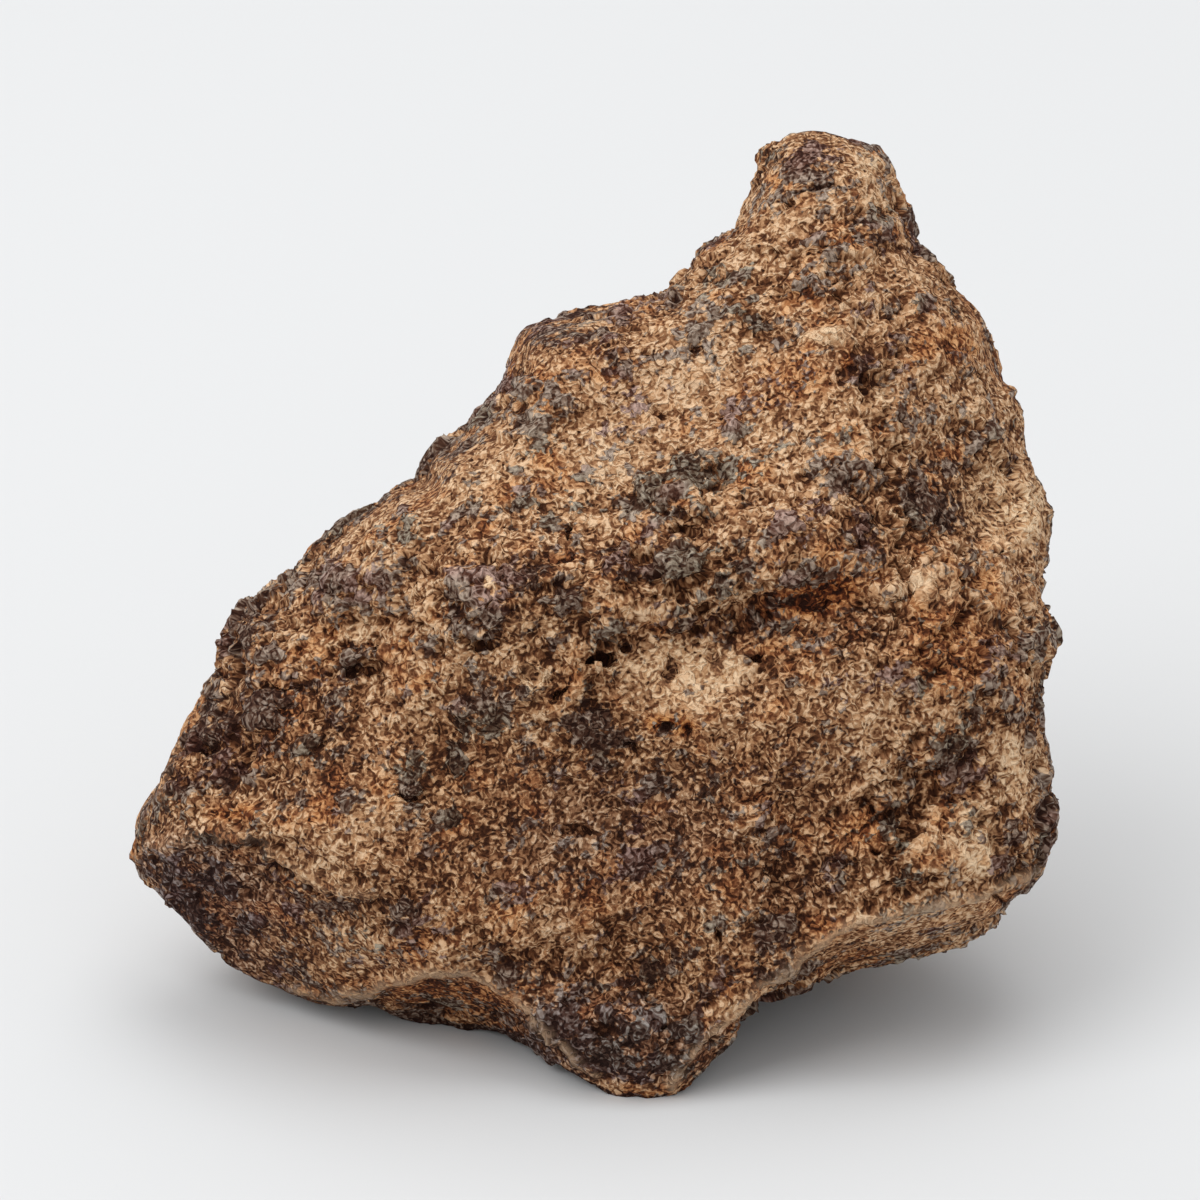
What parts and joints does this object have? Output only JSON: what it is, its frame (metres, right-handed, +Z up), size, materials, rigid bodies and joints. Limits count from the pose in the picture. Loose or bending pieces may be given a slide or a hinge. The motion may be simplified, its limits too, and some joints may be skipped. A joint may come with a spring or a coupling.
{
  "type": "stony meteorite",
  "caption": "Fin-shaped fragment of a weathered stony meteorite, one solid stone that rests leaning back on flat spots under its toe and its back edge.",
  "frame": {"origin": "on the surface the stone rests on, under the middle of its bounding box", "axes": "+Z up, X across the broad face with +X to its right, and the broad face looks along -Y and leans back"},
  "size_m": [0.0402, 0.026, 0.0346],
  "materials": {
    "stone": "rough weathered crust with tan and rust-brown grains"
  },
  "bodies": {
    "root": {"stone": "stone"}
  },
  "joints": []
}
